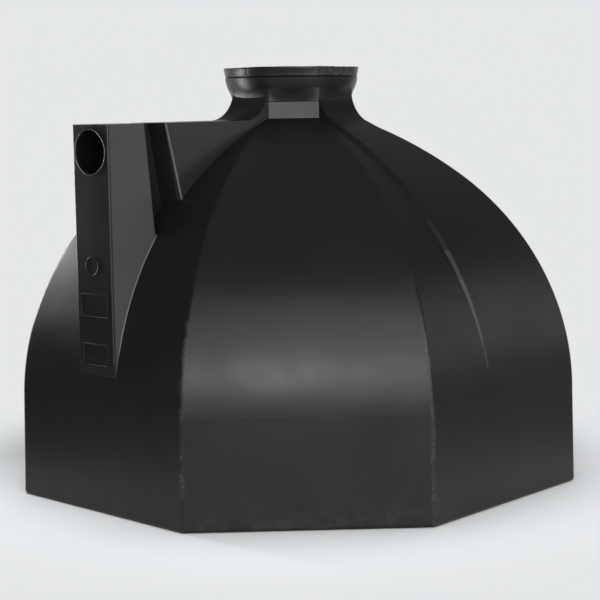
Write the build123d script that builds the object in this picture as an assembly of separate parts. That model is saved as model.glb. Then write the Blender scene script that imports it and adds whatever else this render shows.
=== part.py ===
from build123d import *
import math
import os

# Septic tank, blow-moulded in black polyethylene: an eight-sided dome with a round neck, an inlet
# arm on -X, an outlet arm on +Y and a plain rib on each of the two sides opposite them.
# Millimetres, +Z up. The origin is the middle of the underside.

# Body
sides = 8
skin = 8.0
flat_r = 822.0               # centre to the middle of a side, at the foot
toe_r = 11.0                 # rounding between the floor and the walls
shoulder_z = 310.5           # top of the near-vertical walls
wall_draft = 6.4             # how far a wall leans in between the toe and the shoulder
haunch_r = 809.0             # arc above the shoulder
haunch_lean = 2.2            # the arc's slope from the vertical where it leaves the wall, degrees
crown_from = 52.7            # slope where the haunch turns into the flatter crown, degrees
crown_r = 1200.0
ridge_r = 16.0               # rounding along each edge between two sides

# Neck and mouth: each radius and height is a step from the piece before it
collar_flat_r = 182.0        # eight-sided collar, centre to a flat
collar_rise = 75.0           # collar's height above the crown
neck_foot_out = 8.0          # foot of the neck beyond the collar's flats
neck_flare = 16.0            # the neck widens by this much
neck_rise = 47.0
groove_in = 3.0              # fine groove under the rim
groove_rise = 4.0
rim_out = 2.0
lip_out = 5.0
rim_rise = 29.0

# Arms that take the inlet and outlet pipes
inlet_drop = 4.0             # roof of the inlet arm below the crown
outlet_drop = 60.0           # the outlet arm is lower than the inlet arm by this much
end_face_back = 6.5          # end face behind the foot of the body
end_face_rise = 81.0         # the end face dies into the wall this far above the shoulder
end_face_blend = 50.0        # height over which it leans back to the wall
head_length = 133.5          # along the roof, end face to groove
head_half = 74.0             # half the width of the head
far_run = 40.0               # groove, from the head's side in to the waist
waist_length = 22.0
near_run = 18.0              # groove, from the waist out to the inner arm's side
waist_half = 20.0            # half the width that is left between the two grooves
far_lean = 5.7               # lean of the groove's two walls towards the tank, degrees
near_lean = 10.8
arm_set_in = 0.4             # the inner arm's roof and the ribs' tops within the collar's flats
inner_draft = 2.7            # lean of the inner arm's sides, degrees
flare_r = 100.0              # sweep of the arm's roof up the neck
arm_round = 4.0              # upright corners of the end face
bore_r = 60.0                # hole for the pipe and its seal
bore_drop = 75.0             # bore's centre below the arm's roof

# Ribs
rib_proud = 10.0
rib_toe = 3.0                # height left at the rib's lower end
rib_stations = (             # share of the way up the dome, half widths at foot and top
    (0.09, 84.0, 74.0),
    (0.17, 92.0, 81.0),
    (0.26, 101.0, 89.0),
    (0.36, 110.0, 98.0),
    (0.46, 117.0, 105.0),
    (0.57, 122.0, 110.0),
    (0.67, 121.0, 109.0),
    (0.77, 113.0, 101.0),
    (0.86, 100.0, 90.0),
    (0.93, 87.0, 80.0),
)
rib_flare_r = 105.0          # sweep of the rib up the neck

names = ("east", "northeast", "north", "northwest", "west", "southwest", "south", "southeast")
step = 360.0 / sides
half_step = math.radians(step / 2)
shoulder_r = flat_r - wall_draft
rib_sink = 1.5 * skin


def polar(centre, radius, degrees):
    a = math.radians(degrees)
    return (centre[0] + radius * math.cos(a), centre[1] + radius * math.sin(a))


haunch_centre = polar((shoulder_r, shoulder_z), -haunch_r, haunch_lean)
crown_centre = polar(haunch_centre, haunch_r - crown_r, crown_from)


def dome_point(slope, inset=0.0):
    """Radius and height on a side's middle line, where its face has this slope."""
    if slope <= crown_from:
        return polar(haunch_centre, haunch_r - inset, slope)
    return polar(crown_centre, crown_r - inset, slope)


def slope_for(z):
    """Slope of the haunch arc at this height."""
    return math.degrees(math.asin((z - haunch_centre[1]) / haunch_r))


def slope_at(radius, inset=0.0):
    """Slope of the crown arc at this distance from the axis."""
    return math.degrees(math.acos((radius - crown_centre[0]) / (crown_r - inset)))


crown_to = slope_at(collar_flat_r)
crown_z = dome_point(crown_to)[1]
collar_top = crown_z + collar_rise
neck_top = collar_top + neck_rise
rim_z = neck_top + groove_rise
height = rim_z + rim_rise
neck_foot_r = collar_flat_r + neck_foot_out
neck_top_r = neck_foot_r + neck_flare
groove_r = neck_top_r - groove_in
rim_r = groove_r + rim_out
rim_lip_r = rim_r + lip_out
inlet_top = crown_z - inlet_drop
end_face_r = flat_r - end_face_back
end_face_foot = shoulder_z + end_face_rise
head_back_r = end_face_r - head_length
waist_far_r = head_back_r - far_run
waist_near_r = waist_far_r - waist_length
inner_half = collar_flat_r * math.tan(half_step) - arm_set_in
inner_front_r = waist_near_r - near_run


def side_profile(inset):
    """Half section of the body through the middle of a side, from the floor to the neck."""
    toe = toe_r - inset
    lean = math.degrees(math.atan2(wall_draft, shoulder_z - toe_r))
    toe_centre = (flat_r - toe_r, toe_r)
    end_slope = slope_at(collar_flat_r, inset)
    low = (toe_centre[0], inset)
    low_end = polar(toe_centre, toe, lean)
    haunch = [dome_point(s, inset) for s in (haunch_lean, (haunch_lean + crown_from) / 2, crown_from)]
    crown = [dome_point(s, inset) for s in (crown_from, (crown_from + end_slope) / 2, end_slope)]
    with BuildSketch() as sketch:
        with BuildLine():
            Line((0, inset), low)
            if inset:
                Line(low, low_end)
            else:
                ThreePointArc(low, polar(toe_centre, toe, lean / 2 - 45), low_end)
            Line(low_end, haunch[0])
            ThreePointArc(*haunch)
            ThreePointArc(*crown)
            Line(crown[2], (0, crown[2][1]))
            Line((0, crown[2][1]), (0, inset))
        make_face()
    return Plane.XZ * sketch.face()


def eight_sided(inset):
    """The closed body: four slabs with the half section on both sides, crossed at 45 degrees."""
    half = extrude(side_profile(inset), amount=flat_r, both=True)
    slab = half + half.mirror(Plane.YZ)
    body = slab
    for k in range(1, sides // 2):
        body = body & slab.rotate(Axis.Z, step * k)
    return body


def prism(flat, low, high):
    """Eight-sided prism with flats on the axes."""
    ring = RegularPolygon(flat / math.cos(half_step), sides, rotation=step / 2)
    return Pos(0, 0, low) * extrude(ring, amount=high - low)


def wedge(azimuth, low, high):
    """The eighth of space that belongs to one side."""
    reach = 2 * flat_r
    flank = reach * math.tan(half_step)
    tri = make_face(Polyline((0, 0), (reach, -flank), (reach, flank), close=True))
    return Pos(0, 0, low) * extrude(tri, amount=high - low).rotate(Axis.Z, azimuth)


def block(x0, x1, y0, y1, z0, z1):
    return Pos(x0, y0, z0) * Box(x1 - x0, y1 - y0, z1 - z0, align=(Align.MIN,) * 3)


def turned(*points):
    """A solid turned round the tank's axis from its half section."""
    return revolve(Plane.XZ * make_face(Polyline(*points, close=True)), Axis.Z)


def sweep(centre, radius, turn, low, half):
    """A roof sweeping up the collar on an arc that ends at the collar or at the collar's top."""
    tip = max(collar_flat_r - centre[0], -radius)
    rise = math.degrees(math.atan2(-math.sqrt(radius ** 2 - tip ** 2), tip)) % 360
    edge = polar(centre, radius, rise)
    foot = polar(centre, radius, turn)
    with BuildSketch() as sketch:
        with BuildLine():
            Polyline(edge, (collar_flat_r, low[1]), low, foot)
            ThreePointArc(edge, polar(centre, radius, (rise + turn) / 2), foot)
        make_face()
    return extrude(Plane.XZ * sketch.face(), amount=half, both=True)


def arm(top, inset=0.0):
    """An arm along +X, full depth, so that the body is cut out of it afterwards.

    Its roof sweeps up the collar, unless the dome buries it before it gets there."""
    roof = top - inset
    end = end_face_r - inset
    half = head_half - inset
    middle = (head_back_r + inner_front_r) / 2
    with BuildSketch() as plan:
        with BuildLine():
            Polyline((collar_flat_r, half), (collar_flat_r, -half), (end, -half), (end, half), close=True)
        make_face()
        if not inset:
            fillet(plan.vertices().group_by(Axis.X)[-1], arm_round)
    head = extrude(plan.face(), amount=roof)
    # The end face leans back into the wall over its last stretch.
    face_foot = end_face_foot + inset
    foot_r = dome_point(slope_for(end_face_foot))[0] - inset
    side = make_face(Polyline(
        (0, face_foot), (foot_r, face_foot), (end, face_foot + end_face_blend), (end, roof),
        (0, roof), close=True))
    head = head & extrude(Plane.XZ * side, amount=head_half, both=True)
    top_half = inner_half - inset
    low_half = top_half + math.tan(math.radians(inner_draft)) * (roof - face_foot)
    section = make_face(Polyline(
        (-low_half, face_foot), (low_half, face_foot), (top_half, roof), (-top_half, roof),
        close=True))
    inner = Pos(collar_flat_r, 0, 0) * extrude(Plane.YZ * section, amount=middle - collar_flat_r)
    whole = head + inner
    cut = groove(top, inset)
    whole = whole - cut - cut.mirror(Plane.XZ)
    if top > dome_point(slope_at(collar_flat_r + flare_r))[1]:
        high = min(collar_top, top + flare_r)
        out = math.sqrt(flare_r ** 2 - (top + flare_r - high) ** 2)
        centre = (collar_flat_r + out, top + flare_r)
        low = (centre[0], top - 3 * skin)
        whole = whole + sweep(centre, flare_r + inset, 270, low, top_half)
    return whole


def groove(top, inset):
    """The space between the head and the inner arm on one side, larger by the skin for the hollow.

    Its walls slant in plan, so they stand off by the skin measured square to them."""
    outer = inner_half + head_half
    deep = waist_half - inset
    far = inset / math.cos(math.atan2(far_run, head_half - waist_half))
    near = inset / math.cos(math.atan2(near_run, inner_half - waist_half))
    far_out = far_run / (head_half - waist_half) * (outer - head_half)
    near_out = near_run / (inner_half - waist_half) * (outer - inner_half)
    faces = []
    for z in (top + skin, end_face_foot - skin):
        back = math.tan(math.radians(far_lean)) * (top - z)
        front = math.tan(math.radians(near_lean)) * (top - z)
        faces.append(Pos(0, 0, z) * make_face(Polyline(
            (head_back_r + far_out + far - back, outer), (waist_far_r + far - back, deep),
            (waist_near_r - near - front, deep), (inner_front_r - near_out - near - front, outer),
            close=True)))
    return loft(faces, ruled=True)


def rib(inset=0.0):
    """A raised band over one side along +X that sweeps up the collar.

    Its sides are lofted through sections square to the dome, its top is on arcs round the dome's."""
    faces = []
    for share, foot, top in rib_stations + ((1.0, inner_half, inner_half),):
        slope = haunch_lean + share * (crown_to - haunch_lean)
        x, z = dome_point(slope)
        a = math.radians(slope)
        plane = Plane(origin=(x, 0, z), x_dir=(0, 1, 0), z_dir=(-math.sin(a), 0, math.cos(a)))
        # The sides slant, so the hollow stands off by the skin measured square to them.
        grow = (foot - top) / rib_proud
        stand = inset * math.hypot(1, grow)
        low = foot + grow * rib_sink - stand
        high = top - grow * skin - stand
        faces.append(plane * make_face(Polyline(
            (-low, rib_sink), (low, rib_sink), (high, -rib_proud - skin), (-high, -rib_proud - skin),
            close=True)))
    sides_solid = loft(faces, ruled=True)
    # The sweep's arc is tangent to the band and passes through the collar's top edge.
    long = crown_r + rib_proud + rib_flare_r
    dx, dz = collar_flat_r - crown_centre[0], collar_top - crown_centre[1]
    reach = math.hypot(dx, dz)
    turn = math.acos((long ** 2 + reach ** 2 - rib_flare_r ** 2) / (2 * long * reach))
    end = math.degrees(math.atan2(dz, dx) - turn)
    start = haunch_lean + rib_stations[0][0] * (crown_to - haunch_lean)
    easing = (rib_proud - rib_toe) / 4
    top_start = dome_point(start, inset - rib_toe)
    top_middle = dome_point((start + crown_from) / 2, inset - rib_proud + easing)
    top_joint = dome_point(crown_from, inset - rib_proud)
    crown = [polar(crown_centre, crown_r + rib_proud - inset, s)
             for s in (crown_from, (crown_from + crown_to) / 2, crown_to)]
    with BuildSketch() as sketch:
        with BuildLine():
            ThreePointArc(top_start, top_middle, top_joint)
            ThreePointArc(*crown)
            Polyline(crown[2], dome_point(crown_to, rib_sink), dome_point(start, rib_sink), top_start)
        make_face()
    half = rib_stations[0][1] * 2
    band = extrude(Plane.XZ * sketch.face(), amount=half, both=True) & sides_solid
    centre = polar(crown_centre, long, end)
    low = polar(crown_centre, crown_r - rib_sink, end)
    return band + sweep(centre, rib_flare_r + inset, 180 + end, low, inner_half - inset)


def is_ridge(edge):
    """True for an edge that lies on the corner plane between two sides and climbs."""
    mid = edge.position_at(0.5)
    turn = math.degrees(math.atan2(mid.Y, mid.X)) % step
    return abs(turn - step / 2) < 0.01 and edge.bounding_box().size.Z > 1


def save(name, shape):
    print(name, len(shape.solids()), round(shape.volume / 1000), "cm3")
    export_step(shape, "parts/" + name + ".step")


def make_arm(name, azimuth, top):
    """The skin of one arm, cut into its end wall, roofs and sides."""
    hollow = arm(top, skin)
    shell = arm(top) - hollow - body.rotate(Axis.Z, -azimuth) - collar_block
    end = end_face_r - skin
    roof = top - skin
    middle = (waist_far_r + waist_near_r) / 2
    wide = flat_r
    bore = Pos(end, 0, top - bore_drop) * Rot(0, 90, 0) * Cylinder(bore_r, 4 * skin)
    pieces = {
        "end_wall": block(end, wide, -wide, wide, 0, height),
        "head_roof": block(middle, end, -wide, wide, roof, height),
        "arm_roof": block(0, middle, -wide, wide, roof, height),
        "head_right": block(middle, end, 0, wide, 0, roof),
        "head_left": block(middle, end, -wide, 0, 0, roof),
        "arm_right": block(0, middle, 0, wide, 0, roof),
        "arm_left": block(0, middle, -wide, 0, 0, roof),
    }
    for piece, region in pieces.items():
        shape = shell & region
        if piece == "end_wall":
            shape = shape - bore
        save(name + "_" + piece, shape.rotate(Axis.Z, azimuth))
    return hollow.rotate(Axis.Z, azimuth)


os.makedirs("parts", exist_ok=True)

plain = eight_sided(0)
body = plain.fillet(ridge_r, [e for e in plain.edges() if is_ridge(e)])
shell = body - eight_sided(skin)
floor_plate = prism(flat_r - toe_r, 0, skin)
throat = prism(collar_flat_r - skin, shoulder_z, height)
collar_block = prism(collar_flat_r, crown_z - skin, collar_top)

cuts = {
    "west": make_arm("inlet", 180, inlet_top),
    "north": make_arm("outlet", 90, inlet_top - outlet_drop),
}
for k, name in ((0, "east"), (6, "south")):
    azimuth = step * k
    hollow = rib(skin)
    skin_piece = rib() - hollow - body.rotate(Axis.Z, -azimuth) - collar_block
    save("rib_" + name, skin_piece.rotate(Axis.Z, azimuth))
    cuts[name] = hollow.rotate(Axis.Z, azimuth)

save("floor", floor_plate)
for k, name in enumerate(names):
    save("wall_" + name, (shell & wedge(step * k, 0, shoulder_z)) - floor_plate)
    gore = (shell & wedge(step * k, shoulder_z, height)) - throat
    if name in cuts:
        gore = gore - cuts[name]
    save("dome_" + name, gore)

save("collar", collar_block - throat - body)
with BuildSketch() as section:
    with BuildLine():
        bell = collar_top + neck_rise / 2
        ThreePointArc((neck_foot_r, collar_top), ((neck_foot_r + 2 * neck_top_r) / 3, bell),
                      (neck_top_r, neck_top))
        Polyline((neck_top_r, neck_top), (groove_r, rim_z), (groove_r - skin, rim_z),
                 (neck_foot_r - skin, collar_top), (neck_foot_r, collar_top))
    make_face()
save("neck", revolve(Plane.XZ * section.face(), Axis.Z))
save("rim", turned((groove_r - skin, rim_z), (rim_r, rim_z), (rim_lip_r, height),
                   (groove_r - skin, height)))
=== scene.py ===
import math

import bmesh
import bpy
from mathutils import Matrix, Vector, noise


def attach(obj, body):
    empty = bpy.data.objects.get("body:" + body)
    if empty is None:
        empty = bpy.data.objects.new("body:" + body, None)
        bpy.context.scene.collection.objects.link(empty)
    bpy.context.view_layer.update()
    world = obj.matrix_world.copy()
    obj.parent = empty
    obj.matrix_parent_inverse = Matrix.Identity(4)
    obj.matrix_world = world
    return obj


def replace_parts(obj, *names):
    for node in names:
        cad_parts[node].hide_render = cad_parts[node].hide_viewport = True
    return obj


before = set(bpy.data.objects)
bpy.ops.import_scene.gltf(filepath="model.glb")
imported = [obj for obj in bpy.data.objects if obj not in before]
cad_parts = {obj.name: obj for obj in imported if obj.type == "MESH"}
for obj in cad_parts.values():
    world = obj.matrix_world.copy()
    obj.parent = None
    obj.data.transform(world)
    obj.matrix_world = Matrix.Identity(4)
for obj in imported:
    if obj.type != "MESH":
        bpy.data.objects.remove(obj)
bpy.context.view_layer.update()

# Camera, solved from the tank's eight-sided foot, its ridges and its rim
CAMERA_PLACE = (-3.5709, -3.3222, 1.1519)
CAMERA_HEADING = -46.9727             # degrees from +Y, counter-clockwise
CAMERA_PITCH = -7.1252
CAMERA_ROLL = -0.865
CAMERA_LENS = 93.1173                 # on a sensor of SENSOR mm
SENSOR = 36.0
OPTICAL_AXIS = (291.90, 293.32)       # in the square frame of FRAME_PIXELS
FRAME_PIXELS = 600

# The tank's own sizes, in metres, as they are in the CAD source
END_FACE = 0.8155                     # outer face of an arm's end, from the axis
STEP_FACE = 0.6005                    # face of the inner arm in the waist, from the axis
INLET_TOP = 1.09156
OUTLET_DROP = 0.060
ARM_HALF = 0.074
BORE_DROP = 0.075
BORE_R = 0.060
COLLAR_FLAT_R = 0.182
COLLAR_TOP = 1.17056
RIM_FOOT_Z = 1.22156
HEIGHT = 1.25056
THROAT_R = 0.195
RIM_FOOT_R = 0.205
RIM_LIP_R = 0.210
HAUNCH = (0.0072, 0.27944, 0.809)     # the dome's lower arc: its centre's radius and height, its radius

# Arms: name, azimuth, top of the head, foot of the step's edge
ARMS = (
    ("inlet", 180, INLET_TOP, 0.873),
    ("outlet", 90, INLET_TOP - OUTLET_DROP, 0.862),
)
STEP_LEAN = (-0.2093, 0.0472)         # the step's edge moves in and sideways by this much per metre down
HEAD_FOOT = (0.434, 0.780)            # heights between which a head's side meets the dome
STEP_ROLL_R = 0.0036
FOOT_ROLL_R = 0.0034

# The bare places on the inlet's end face: left, right, low, high
PLATES = (
    ("upper_frame", -0.059, 0.055, 0.557, 0.623),
    ("lower_frame", -0.054, 0.054, 0.421, 0.483),
)
PLATE_EDGE, PLATE_PROUD, PLATE_SUNK, PLATE_CORNER = 0.0030, 0.0014, 0.0015, 0.005
MARK_PLACE, MARK_R = (-0.0075, 0.701), 0.0255

# Neck and rim
BLEND_LOW, BLEND_HIGH, BLEND_TOP_R = -0.026, 0.017, 0.1979    # heights are from the collar's top
SEAM_AT, SEAM_WIDTH = 183, 0.55       # degrees
CHIPS_AT = 268                        # middle of the rim's chipped stretch, degrees

# Colours
PALE = (0.785, 0.80, 0.815, 1)
OVERHEAD = (0.12, 0.123, 0.127, 1)
BLACK = ((0.0050, 0.0052, 0.0054, 1), (0.0082, 0.0084, 0.0088, 1))
# The next tint is painted light: a pale sheen painted on the arms' outer side faces
SHEEN_PAINT = (0.20, 0.20, 0.205, 1)
DUST = (0.11, 0.105, 0.095, 1)
SCRATCH = (0.16, 0.16, 0.16, 1)
WORN = (0.20, 0.20, 0.195, 1)

# Darker sides of the studio, which the tank's faces mirror: seen from, azimuth, the azimuth of the
# direction in which the floor darkens and the two distances between which it does, colour
SIDES = (
    ((-0.82, -0.10), 137, 144.5, (0.95, 1.75), (0.12, 0.122, 0.125, 1)),
    ((0.00, -0.82), 324, 301.5, (0.95, 1.75), (0.28, 0.285, 0.29, 1)),
    ((-0.58, -0.58), 225, 225, (1.45, 2.7), (0.33, 0.336, 0.342, 1)),
)
SIDE_EDGE, SIDE_CORE = 48, 26         # degrees off the middle where a side begins and where it is full
HORIZON, ZENITH = 7, 26               # elevations between which the surroundings darken
FLOOR_HALF = 60.0
FLOOR_BLEND = (0.9, 1.4)              # radii between which the lit floor becomes the backdrop

# Lamps: name, azimuth, elevation, distance, width, height, radiance, aim
LAMPS = (
    ("key_box", 227, 10.6, 5.0, 2.2, 1.6, 5.8, (-0.58, -0.55, 0.46)),
    ("key_top", 227, 33, 5.0, 2.4, 1.6, 2.4, (-0.58, -0.55, 0.46)),
    ("key_level", 227, 0, 4.8, 0.8, 0.5, 8.0, (-0.12, -0.14, 1.12)),
    ("ridge_right", 256, 17, 4.5, 2.7, 3.0, 3.4, (-0.3, -0.7, 0.5)),
    ("ridge_left", 202, 14, 4.5, 1.6, 1.7, 2.4, (-0.7, -0.3, 0.4)),
    ("fill_above", 30, 86, 5.0, 6.0, 6.0, 2.5, (0, 0, 0.5)),
    ("left_box", 99, 24, 0.9, 0.10, 0.8, 42.0, (-0.75, 0.24, 0.61)),
    ("right_box", 318, 12, 4.5, 2.6, 1.8, 0.75, (-0.2, -0.6, 0.6)),
)
NOT_MIRRORED = ("fill_above",)
TURNED_UP = {"left_box": -0.7}        # this lamp faces a little upwards, so that it spares the floor


def make_camera():
    data = bpy.data.cameras.new("camera")
    data.lens = CAMERA_LENS
    data.sensor_width = SENSOR
    data.shift_x = (FRAME_PIXELS / 2 - OPTICAL_AXIS[0]) / FRAME_PIXELS
    data.shift_y = (OPTICAL_AXIS[1] - FRAME_PIXELS / 2) / FRAME_PIXELS
    camera = bpy.data.objects.new("camera", data)
    bpy.context.scene.collection.objects.link(camera)
    turn = Matrix.Rotation(math.radians(CAMERA_HEADING), 4, "Z")
    tilt = Matrix.Rotation(math.radians(90 + CAMERA_PITCH), 4, "X")
    roll = Matrix.Rotation(math.radians(CAMERA_ROLL), 4, "Z")
    camera.matrix_world = Matrix.Translation(CAMERA_PLACE) @ turn @ tilt @ roll
    bpy.context.scene.camera = camera


def softbox(name, azimuth, elevation, distance, wide, high, radiance, aim):
    """A rectangular lamp that faces the aim. Its power follows from the radiance of its face."""
    data = bpy.data.lights.new(name, "AREA")
    data.shape = "RECTANGLE"
    data.size = wide
    data.size_y = high
    data.energy = radiance * math.pi * wide * high
    lamp = bpy.data.objects.new(name, data)
    bpy.context.scene.collection.objects.link(lamp)
    a, e = math.radians(azimuth), math.radians(elevation)
    outwards = Vector((math.cos(a) * math.cos(e), math.sin(a) * math.cos(e), math.sin(e)))
    lamp.location = Vector(aim) + distance * outwards
    facing = Vector(aim) - lamp.location
    facing.z *= TURNED_UP.get(name, 1.0)
    lamp.rotation_euler = facing.to_track_quat("-Z", "Y").to_euler()
    lamp.visible_glossy = name not in NOT_MIRRORED
    lamp.visible_camera = False


class Graph:
    """Short hands for building a node tree."""

    def __init__(self, tree):
        self.tree = tree

    def node(self, kind, **settings):
        made = self.tree.nodes.new(kind)
        for key, value in settings.items():
            setattr(made, key, value)
        return made

    def put(self, socket, value):
        if isinstance(value, bpy.types.NodeSocket):
            self.tree.links.new(value, socket)
        else:
            socket.default_value = value

    def math(self, operation, *values):
        made = self.node("ShaderNodeMath", operation=operation)
        for socket, value in zip(made.inputs, values):
            self.put(socket, value)
        return made.outputs[0]

    def remap(self, value, low, high, to_low=0.0, to_high=1.0, kind="SMOOTHSTEP"):
        made = self.node("ShaderNodeMapRange", interpolation_type=kind)
        for socket, v in zip(made.inputs, (value, low, high, to_low, to_high)):
            self.put(socket, v)
        return made.outputs[0]

    def mix(self, factor, a, b):
        made = self.node("ShaderNodeMix", data_type="RGBA")
        for socket, value in ((made.inputs["Factor"], factor), (made.inputs[6], a), (made.inputs[7], b)):
            self.put(socket, value)
        return made.outputs[2]

    def noise(self, where, scale, detail=2.0, roughness=0.5, distortion=0.0):
        made = self.node("ShaderNodeTexNoise")
        for name, value in (("Vector", where), ("Scale", scale), ("Detail", detail),
                            ("Roughness", roughness), ("Distortion", distortion)):
            self.put(made.inputs[name], value)
        return made.outputs[0]

    def stretch(self, where, scale, turn):
        made = self.node("ShaderNodeMapping")
        self.put(made.inputs["Vector"], where)
        made.inputs["Scale"].default_value = scale
        made.inputs["Rotation"].default_value = tuple(math.radians(t) for t in turn)
        return made.outputs[0]

    def bump(self, height, strength, distance):
        made = self.node("ShaderNodeBump")
        for name, value in (("Height", height), ("Strength", strength), ("Distance", distance)):
            self.put(made.inputs[name], value)
        return made

    def split(self, where):
        made = self.node("ShaderNodeSeparateXYZ")
        self.put(made.inputs[0], where)
        return made.outputs

    def length(self, x, y):
        return self.math("SQRT", self.math("ADD", self.math("MULTIPLY", x, x), self.math("MULTIPLY", y, y)))

    def along(self, x, y, azimuth):
        a = math.radians(azimuth)
        return self.math("ADD", self.math("MULTIPLY", x, math.cos(a)), self.math("MULTIPLY", y, math.sin(a)))


def cosine(degrees):
    return math.cos(math.radians(degrees))


def studio_sides(g, x, y, on_floor):
    """The pale surroundings, darker towards the sides that the tank's faces mirror in the photo."""
    colour = PALE
    for seen_from, azimuth, line, reach, dark in SIDES:
        dx = g.math("SUBTRACT", x, seen_from[0] if on_floor else 0.0)
        dy = g.math("SUBTRACT", y, seen_from[1] if on_floor else 0.0)
        toward = g.math("DIVIDE", g.along(dx, dy, azimuth), g.math("ADD", g.length(dx, dy), 0.0001))
        inside = g.remap(toward, cosine(SIDE_EDGE), cosine(SIDE_CORE))
        if on_floor:
            inside = g.math("MULTIPLY", inside, g.remap(g.along(x, y, line), *reach))
        colour = g.mix(inside, colour, dark)
    return colour


def make_world():
    world = bpy.data.worlds.new("world")
    bpy.context.scene.world = world
    world.use_nodes = True
    g = Graph(world.node_tree)
    x, y, z = g.split(g.node("ShaderNodeTexCoord").outputs["Generated"])
    up = g.remap(z, math.sin(math.radians(HORIZON)), math.sin(math.radians(ZENITH)))
    g.put(world.node_tree.nodes["Background"].inputs["Color"],
          g.mix(up, studio_sides(g, x, y, False), OVERHEAD))


def make_floor():
    """A lit floor with the tank's shadow, which runs out into an even backdrop."""
    mesh = bpy.data.meshes.new("floor")
    s = FLOOR_HALF
    mesh.from_pydata([(-s, -s, 0), (s, -s, 0), (s, s, 0), (-s, s, 0)], [], [(0, 1, 2, 3)])
    floor = bpy.data.objects.new("studio_floor", mesh)
    bpy.context.scene.collection.objects.link(floor)
    mat = bpy.data.materials.new("floor_paint")
    mat.use_nodes = True
    mat.node_tree.nodes.clear()
    g = Graph(mat.node_tree)
    x, y, _ = g.split(g.node("ShaderNodeTexCoord").outputs["Object"])
    diffuse = g.node("ShaderNodeBsdfDiffuse")
    glow = g.node("ShaderNodeEmission")
    paint = studio_sides(g, x, y, True)
    g.put(diffuse.inputs["Color"], paint)
    g.put(glow.inputs["Color"], paint)
    rays = g.node("ShaderNodeLightPath").outputs
    shown = g.math("MAXIMUM", g.math("MAXIMUM", rays["Is Camera Ray"], rays["Is Glossy Ray"]),
                   rays["Is Transmission Ray"])
    blend = g.node("ShaderNodeMixShader")
    g.put(blend.inputs[0], g.math("MULTIPLY", g.remap(g.length(x, y), *FLOOR_BLEND), shown))
    g.put(blend.inputs[1], diffuse.outputs[0])
    g.put(blend.inputs[2], glow.outputs[0])
    g.put(g.node("ShaderNodeOutputMaterial").inputs["Surface"], blend.outputs[0])
    mesh.materials.append(mat)


def ridge_distance(g, x, y):
    """Metres from the nearest ridge between two of the eight sides."""
    turn = g.math("ADD", g.math("DIVIDE", g.math("ARCTAN2", y, x), math.radians(45)), 8.5)
    off = g.math("FRACT", turn)
    off = g.math("MINIMUM", off, g.math("SUBTRACT", 1.0, off))
    return g.math("MULTIPLY", g.math("MULTIPLY", off, math.radians(45)), g.length(x, y))


def ridge_wear(g, place, x, y, z):
    """Fine pale specks along the lower ridges and along the top of the inlet's end face."""
    near = g.remap(ridge_distance(g, x, y), 0.011, 0.003)
    patches = g.noise(place, 11.0, 4.0, 0.6)
    where = g.remap(g.math("ADD", patches, g.math("MULTIPLY", y, -0.12)), 0.50, 0.66)
    where = g.math("MULTIPLY", where, g.remap(z, 0.72, 0.58))
    specks = g.remap(g.noise(place, 260.0, 3.0, 0.7), 0.50, 0.60)
    worn = g.math("MULTIPLY", g.math("MULTIPLY", near, where), specks)
    end_edge = g.math("MULTIPLY", g.remap(x, 0.005 - END_FACE, 0.001 - END_FACE),
                      g.remap(z, INLET_TOP - 0.006, INLET_TOP - 0.001))
    end_worn = g.math("MULTIPLY", end_edge, g.remap(g.noise(place, 90.0, 3.0, 0.7), 0.48, 0.58))
    return g.math("MAXIMUM", worn, end_worn)


def scratches(g, place):
    first = g.noise(g.stretch(place, (24, 24, 900), (38, 12, 20)), 1.0, 2.0, 0.6, 0.4)
    second = g.noise(g.stretch(place, (900, 30, 40), (10, 50, 35)), 1.0, 2.0, 0.6, 0.4)
    fine = g.math("MAXIMUM", g.remap(first, 0.70, 0.76), g.remap(second, 0.71, 0.77))
    return g.math("MULTIPLY", fine, g.remap(g.noise(place, 4.3, 3.0), 0.50, 0.66))


def chips(g, place, x, y):
    """Pale flakes along the stretch of the rim that the trimming tore."""
    toward = g.math("DIVIDE", g.along(x, y, CHIPS_AT), g.length(x, y))
    stretch = g.remap(toward, cosine(42), cosine(22))
    flakes = g.math("MULTIPLY", stretch, g.remap(g.noise(place, 60.0, 4.0, 0.7), 0.42, 0.60, 0.25, 1.0))
    return g.math("MULTIPLY", flakes, 0.55)


def sheen_paint_mask(g, x, y, z, clouds, painted_sheen):
    """Painted light on an arm's outer side faces: a pale painted sheen, stronger lower down; none inside the
    arm.
    """
    low = g.remap(z, 1.05, 0.60, 0.9, 1.35, "LINEAR")
    uneven = g.remap(clouds, 0.25, 0.75, 0.8, 1.1, "LINEAR")
    outside = g.math("MINIMUM", g.math("ABSOLUTE", x), g.math("ABSOLUTE", y))
    share = g.math("MULTIPLY", uneven, g.math("MULTIPLY", low, painted_sheen))
    return g.math("MULTIPLY", share, g.remap(outside, ARM_HALF - 0.004, ARM_HALF - 0.001))


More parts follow.
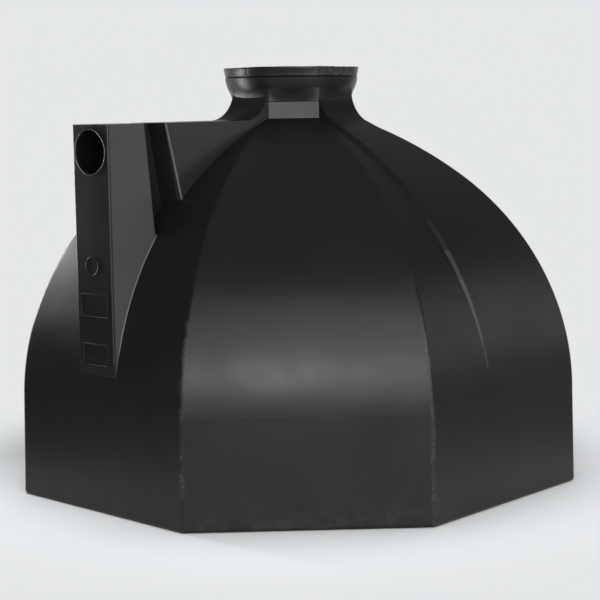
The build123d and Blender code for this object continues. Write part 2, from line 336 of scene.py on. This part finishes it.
def plastic(name, painted_sheen=0.0, chipped=False):
    """Black polyethylene as it leaves the mould: satin, slightly wavy, with scuffs along the ridges."""
    mat = bpy.data.materials.new(name)
    mat.use_nodes = True
    g = Graph(mat.node_tree)
    bsdf = mat.node_tree.nodes["Principled BSDF"]
    place = g.node("ShaderNodeTexCoord").outputs["Object"]
    x, y, z = g.split(place)
    clouds = g.noise(place, 3.1, 3.0)
    worn = ridge_wear(g, place, x, y, z)
    if chipped:
        worn = g.math("MAXIMUM", worn, chips(g, place, x, y))
    dust = g.math("MULTIPLY", g.remap(z, 0.11, 0.0), g.remap(g.noise(place, 17.0, 5.0, 0.65), 0.42, 0.68))

    colour = g.mix(clouds, *BLACK)
    # Painted light: a pale painted sheen on the arms' outer side faces
    if painted_sheen:
        colour = g.mix(sheen_paint_mask(g, x, y, z, clouds, painted_sheen), colour, SHEEN_PAINT)
    for share, strength, tint in ((dust, 0.10, DUST), (scratches(g, place), 0.10, SCRATCH),
                                  (worn, 0.30, WORN)):
        colour = g.mix(g.math("MULTIPLY", share, strength), colour, tint)
    g.put(bsdf.inputs["Base Color"], colour)

    rough = g.remap(g.noise(place, 6.0, 4.0, 0.6), 0.3, 0.7, 0.29, 0.37, "LINEAR")
    rough = g.math("ADD", rough, g.math("MULTIPLY", g.math("MAXIMUM", worn, dust), 0.16))
    g.put(bsdf.inputs["Roughness"], rough)
    bsdf.inputs["Specular IOR Level"].default_value = 0.33

    waves = g.bump(g.noise(place, 5.5, 2.0, 0.45), 0.16, 0.012)
    grain = g.math("ADD", g.noise(place, 420.0, 2.0), g.math("MULTIPLY", worn, 2.0))
    skin = g.bump(grain, 0.12, 0.0006)
    g.put(skin.inputs["Normal"], waves.outputs[0])
    g.put(bsdf.inputs["Normal"], skin.outputs[0])
    return mat


def join_rows(built, rows, endless=True):
    """Faces between neighbouring rows of vertices. Each row is a closed outline."""
    after_rows = rows[1:] + rows[:1] if endless else rows[1:]
    for here, after in zip(rows, after_rows):
        for i in range(len(here)):
            j = (i + 1) % len(here)
            built.faces.new((here[i], here[j], after[j], after[i]))


def mesh_piece(name, built, material):
    """Turns a bmesh into a piece of the tank that rides with it."""
    bmesh.ops.recalc_face_normals(built, faces=built.faces)
    mesh = bpy.data.meshes.new(name)
    built.to_mesh(mesh)
    built.free()
    mesh.materials.append(material)
    for face in mesh.polygons:
        face.use_smooth = True
    made = bpy.data.objects.new(name, mesh)
    bpy.context.scene.collection.objects.link(made)
    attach(made, "root")
    return made


def on_end_face(azimuth):
    """From a flat sketch (right, up, out) to an arm's end face, seen from outside."""
    turn = Matrix.Rotation(math.radians(azimuth), 4, "Z")
    return turn @ Matrix(((0, 0, 1, END_FACE), (1, 0, 0, 0), (0, 1, 0, 0), (0, 0, 0, 1)))


def ring_band(name, azimuth, centre, outline, count):
    """A band with the given cross-section (radius, out) turned round a centre on an end face."""
    built = bmesh.new()
    place = on_end_face(azimuth)
    rows = []
    for k in range(count):
        a = 2 * math.pi * k / count
        c, s = math.cos(a), math.sin(a)
        rows.append([built.verts.new(place @ Vector((centre[0] + r * c, centre[1] + r * s, out)))
                     for r, out in outline])
    join_rows(built, rows)
    mesh_piece(name, built, skin)


def hole_lip(arm, azimuth, top):
    """The rounded lip that the cutter left round the pipe's hole."""
    section = [(BORE_R + 0.0005, -0.0075)]
    for k in range(9):
        a = math.radians(180 - 22.5 * k)
        section.append((BORE_R + 0.0030 + 0.0025 * math.cos(a), 0.0006 + 0.0012 * math.sin(a)))
    section += [(BORE_R + 0.0055, -0.0015), (BORE_R + 0.0015, -0.0075)]
    ring_band(arm + "_hole_lip", azimuth, (0, top - BORE_DROP), section, 96)


def round_mark():
    """A plain raised ring on the inlet's end face."""
    section = [(MARK_R - 0.0016, -0.0015)]
    for k in range(7):
        a = math.radians(180 - 30 * k)
        section.append((MARK_R + 0.0014 * math.cos(a), 0.0003 + 0.0011 * math.sin(a)))
    section.append((MARK_R + 0.0016, -0.0015))
    ring_band("round_mark", 180, MARK_PLACE, section, 64)


def raised_frame(name, left, right, low, high):
    """A plain raised frame moulded on the inlet's end face; nothing is written in it."""
    built = bmesh.new()
    place = on_end_face(180)
    c = PLATE_CORNER
    section = ((0.0, -PLATE_SUNK), (0.0003, PLATE_PROUD * 0.6), (0.0010, PLATE_PROUD),
               (PLATE_EDGE - 0.0010, PLATE_PROUD), (PLATE_EDGE - 0.0003, PLATE_PROUD * 0.6),
               (PLATE_EDGE, -PLATE_SUNK))
    rows = []
    for cx, cy, start in ((right - c, low + c, 270), (right - c, high - c, 0), (left + c, high - c, 90),
                          (left + c, low + c, 180)):
        for k in range(5):
            a = math.radians(start + 22.5 * k)
            rows.append([built.verts.new(place @ Vector((cx + (c - inset) * math.cos(a),
                                                         cy + (c - inset) * math.sin(a), out)))
                         for inset, out in section])
    join_rows(built, rows)
    mesh_piece(name, built, skin)


def edge_roll(name, points, radii, turn):
    """The small rounding along an edge of the blown skin: a tube through the points, mostly sunk in, coloured
    pale as a painted highlight.
    """
    built = bmesh.new()
    sides = 12
    angles = [2 * math.pi * j / sides for j in range(sides)]
    rows = []
    for k, (point, radius) in enumerate(zip(points, radii)):
        along = (points[min(k + 1, len(points) - 1)] - points[max(k - 1, 0)]).normalized()
        side = along.cross(Vector((1, 0, 0))).normalized()
        up = side.cross(along)
        wave = 0.00025 * noise.noise(Vector((k * 0.37, 3.1, radius * 100)))
        rows.append([built.verts.new(point + side * (wave + radius * math.cos(a)) + up * radius * math.sin(a))
                     for a in angles])
    join_rows(built, rows, endless=False)
    built.faces.new(rows[0])
    built.faces.new(rows[-1])
    built.transform(Matrix.Rotation(math.radians(turn), 4, "Z"))
    mesh_piece(name, built, edges_highlight_paint)


def dome_radius(height):
    """Radius of the dome's lower arc at this height, on a side's middle line, a millimetre inside it."""
    x, z, r = HAUNCH
    a = math.asin((height - z) / r)
    return x + (r - 0.001) * math.cos(a), z + (r - 0.001) * math.sin(a)


def step_edge(arm, word, side, turn, top, foot):
    """The edge where the inner arm steps out of the waist, with a painted highlight along it."""
    steps = 24
    down = top - foot
    half = ARM_HALF - 0.0005
    high = Vector((STEP_FACE, side * half, top - 0.0012))
    low = Vector((STEP_FACE + STEP_LEAN[0] * down, side * (half + STEP_LEAN[1] * down), foot))
    points = [high.lerp(low, k / steps) for k in range(steps + 1)]
    edge_roll(f"{arm}_step_edge_{word}", points, [STEP_ROLL_R] * len(points), turn)


def head_foot(arm, word, side, turn):
    """The line where the head's side runs into the dome, thinner at both ends, with a painted highlight along
    it.
    """
    steps = 40
    points = []
    for k in range(steps + 1):
        r, z = dome_radius(HEAD_FOOT[0] + (HEAD_FOOT[1] - HEAD_FOOT[0]) * k / steps)
        points.append(Vector((r, side * (ARM_HALF - 0.001), z)))
    radii = [FOOT_ROLL_R * min(1, (k + 2) / 8, (steps + 2 - k) / 4) for k in range(steps + 1)]
    edge_roll(f"{arm}_head_foot_{word}", points, radii, turn)


def off_angle(a, degrees):
    """Signed degrees from the given direction."""
    return (math.degrees(a) - degrees + 180) % 360 - 180


def rim_section(a):
    """The rim's outline at this angle: wavy top, chips, and a seam."""
    c, s = math.cos(a), math.sin(a)
    chipped = max(0.0, min(1.0, 1.8 - abs(off_angle(a, CHIPS_AT)) / 20.0))
    seam = math.exp(-((off_angle(a, SEAM_AT) / SEAM_WIDTH) ** 2))
    fine = 0.5 + 0.5 * noise.noise(Vector((c * 46.0, s * 46.0, 7.0)))
    low = 0.0010 + 0.0012 * noise.noise(Vector((c * 3.0, s * 3.0, 0.4)))
    low += 0.0035 * chipped * fine ** 2 + 0.0012 * seam
    top = HEIGHT - max(0.0, low)
    section = [(THROAT_R, RIM_FOOT_Z), (RIM_FOOT_R - 0.0012, RIM_FOOT_Z), (RIM_FOOT_R, RIM_FOOT_Z + 0.0012)]
    for m in range(1, 8):
        t = m / 8
        z = RIM_FOOT_Z + (top - RIM_FOOT_Z - 0.002) * t
        r = RIM_FOOT_R + (RIM_LIP_R - RIM_FOOT_R) * t ** 1.6
        dent = 0.0018 * chipped * (noise.noise(Vector((c * 34.0, s * 34.0, z * 210.0))) - 0.2)
        wave = 0.0007 * noise.noise(Vector((c * 5.0, s * 5.0, z * 22.0)))
        section.append((min(r + dent + wave - 0.0006 * seam, RIM_LIP_R), z))
    return section + [(RIM_LIP_R - 0.0004, top - 0.0016), (RIM_LIP_R - 0.0018, top - 0.0003),
                      (RIM_LIP_R - 0.0040, top), (THROAT_R + 0.0022, top), (THROAT_R + 0.0006, top - 0.0006),
                      (THROAT_R, top - 0.0022)]


def blend_section(a):
    """The outline of the soft run from the collar's flats into the round neck, at this angle."""
    steps = 16
    flat = COLLAR_FLAT_R / math.cos((a + math.pi / 8) % (math.pi / 4) - math.pi / 8)
    section = []
    for m in range(steps + 1):
        t = m / steps
        z = COLLAR_TOP + BLEND_LOW + (BLEND_HIGH - BLEND_LOW) * t
        wave = 0.0003 * noise.noise(Vector((9 * math.cos(a), 9 * math.sin(a), z * 40)))
        section.append((flat + (BLEND_TOP_R - flat) * t ** 1.3 + 0.0001 + wave * t, z))
    return section + [(BLEND_TOP_R - 0.003, COLLAR_TOP + BLEND_HIGH), (flat - 0.002, COLLAR_TOP + BLEND_LOW)]


def turned(name, outline, count, material):
    """A ring round the tank's axis whose outline (radius, height) changes with the angle."""
    built = bmesh.new()
    rows = []
    for k in range(count):
        a = 2 * math.pi * k / count
        rows.append([built.verts.new((r * math.cos(a), r * math.sin(a), z)) for r, z in outline(a)])
    join_rows(built, rows)
    return mesh_piece(name, built, material)


make_camera()
make_world()
make_floor()
for lamp in LAMPS:
    softbox(*lamp)

skin = plastic("black_polyethylene")
# The heads and arms get a painted sheen on their outer sides, the heads more strongly
heads_sheen_paint = plastic("polyethylene_sheen_paint_heads", painted_sheen=0.23)
arms_sheen_paint = plastic("polyethylene_sheen_paint_arms", painted_sheen=0.055)
# The edge rolls' pale tint is a painted highlight along the arms' edges
edges_highlight_paint = plastic("polyethylene_highlight_paint_edges", painted_sheen=0.45)
trimmed = plastic("trimmed_polyethylene", chipped=True)
for name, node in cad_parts.items():
    node.data.materials.clear()
    look = heads_sheen_paint if "_head_" in name else arms_sheen_paint if "_arm_" in name or "_end_" in name else skin
    node.data.materials.append(look)

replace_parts(turned("blown_rim", rim_section, 720, trimmed), "rim")
turned("neck_blend", blend_section, 384, skin)
for arm, azimuth, top, _ in ARMS:
    hole_lip(arm, azimuth, top)
for plate in PLATES:
    raised_frame(*plate)
round_mark()
for arm, azimuth, top, foot in ARMS:
    for word, side in (("right", 1), ("left", -1)):
        step_edge(arm, word, side, azimuth, top, foot)
        head_foot(arm, word, side, azimuth)

bpy.context.scene.view_settings.view_transform = "Standard"
bpy.context.view_layer.update()
